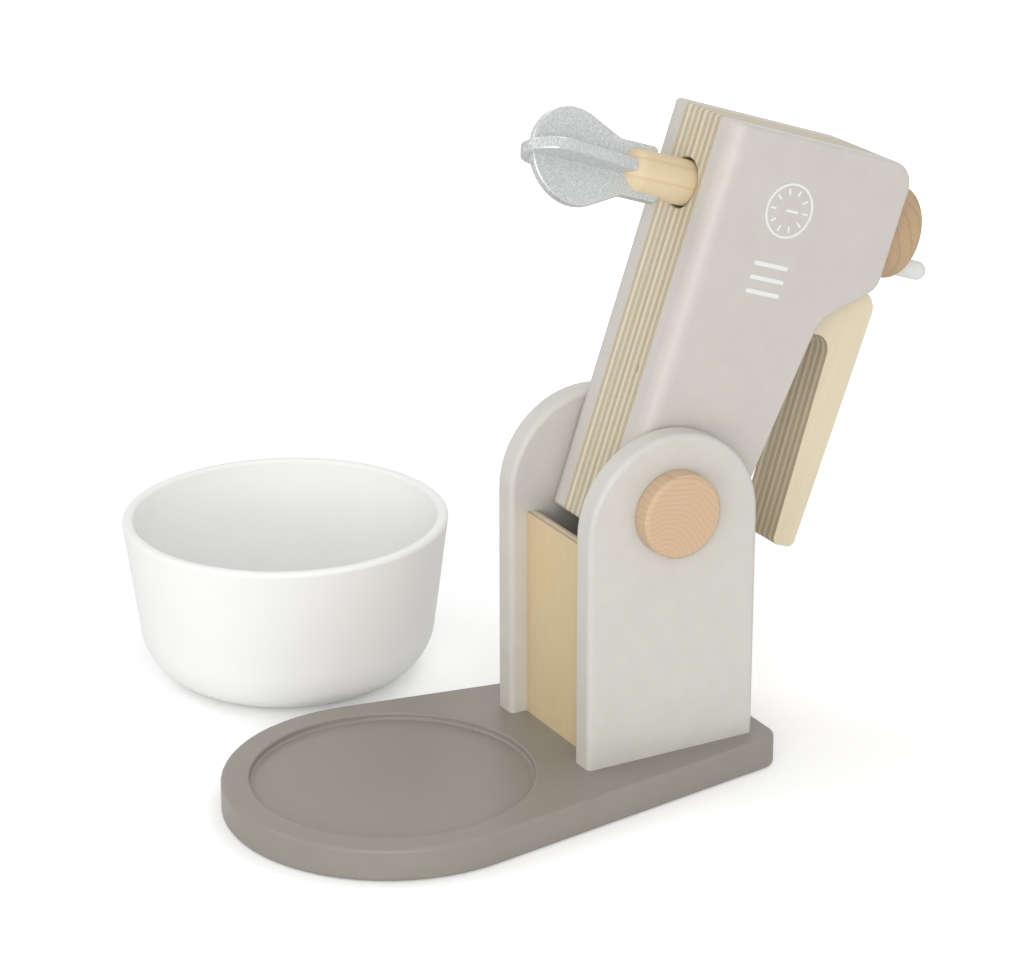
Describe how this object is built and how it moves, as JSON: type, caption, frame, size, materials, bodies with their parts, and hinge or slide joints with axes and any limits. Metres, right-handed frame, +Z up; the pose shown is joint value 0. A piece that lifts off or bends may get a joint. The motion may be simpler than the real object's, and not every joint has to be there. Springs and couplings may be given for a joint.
{
  "type": "toy stand mixer",
  "caption": "Wooden toy stand mixer: tilting plywood head with handle, hand-cranked crossed-blade whisk, base board with a sunk bowl seat, and a loose bowl.",
  "frame": {"origin": "on the underside of the base board, on the mirror plane, under the centre of the bowl's seat", "axes": "+Z up, -Y towards the round front where the bowl stands in use, +X towards the side that the picture shows nearer"},
  "size_m": [0.2474, 0.2764, 0.241],
  "materials": {
    "base_paint": "satin taupe paint on board",
    "cheek_paint": "satin warm grey paint on board",
    "head_paint": "satin warm grey paint on board",
    "birch_ply": "clear lacquered birch plywood",
    "beech": "clear lacquered beech",
    "pale_dowel": "clear lacquered pale hardwood dowel",
    "silver_glitter": "silver paint with fine glitter",
    "white_paint": "satin white paint",
    "bowl_white": "matte white",
    "zinc_steel": "zinc plated"
  },
  "bodies": {
    "stand": {"base_board": "base_paint", "cheek_left": "cheek_paint", "cheek_right": "cheek_paint", "front_plate": "birch_ply", "rear_plate": "birch_ply", "base_screws": "zinc_steel"},
    "head": {"head_core": "birch_ply", "head_side_left": "head_paint", "head_side_right": "head_paint", "head_dowels": "beech", "pivot_axle": "beech", "knob_left": "beech", "knob_right": "beech"},
    "whisk": {"whisk_holder": "pale_dowel", "whisk_blade_fore": "silver_glitter", "whisk_blade_cross": "silver_glitter", "whisk_shaft": "beech", "crank_disc": "beech", "crank_peg": "white_paint"},
    "bowl": {"bowl": "bowl_white"}
  },
  "joints": [
    {"name": "head_tilt", "type": "hinge", "parent": "stand", "child": "head", "pos_m": [0, 0.093, 0.1035], "axis": [1, 0, 0], "range_deg": [0, 109]},
    {"name": "whisk_spin", "type": "hinge", "parent": "head", "child": "whisk", "pos_m": [0, 0.128, 0.20514], "axis": [0, 0.9455, -0.3256], "continuous": true},
    {"name": "bowl_lift", "type": "slide", "parent": "stand", "child": "bowl", "axis": [0, 0, 1], "range_m": [0, 0.08]}
  ]
}
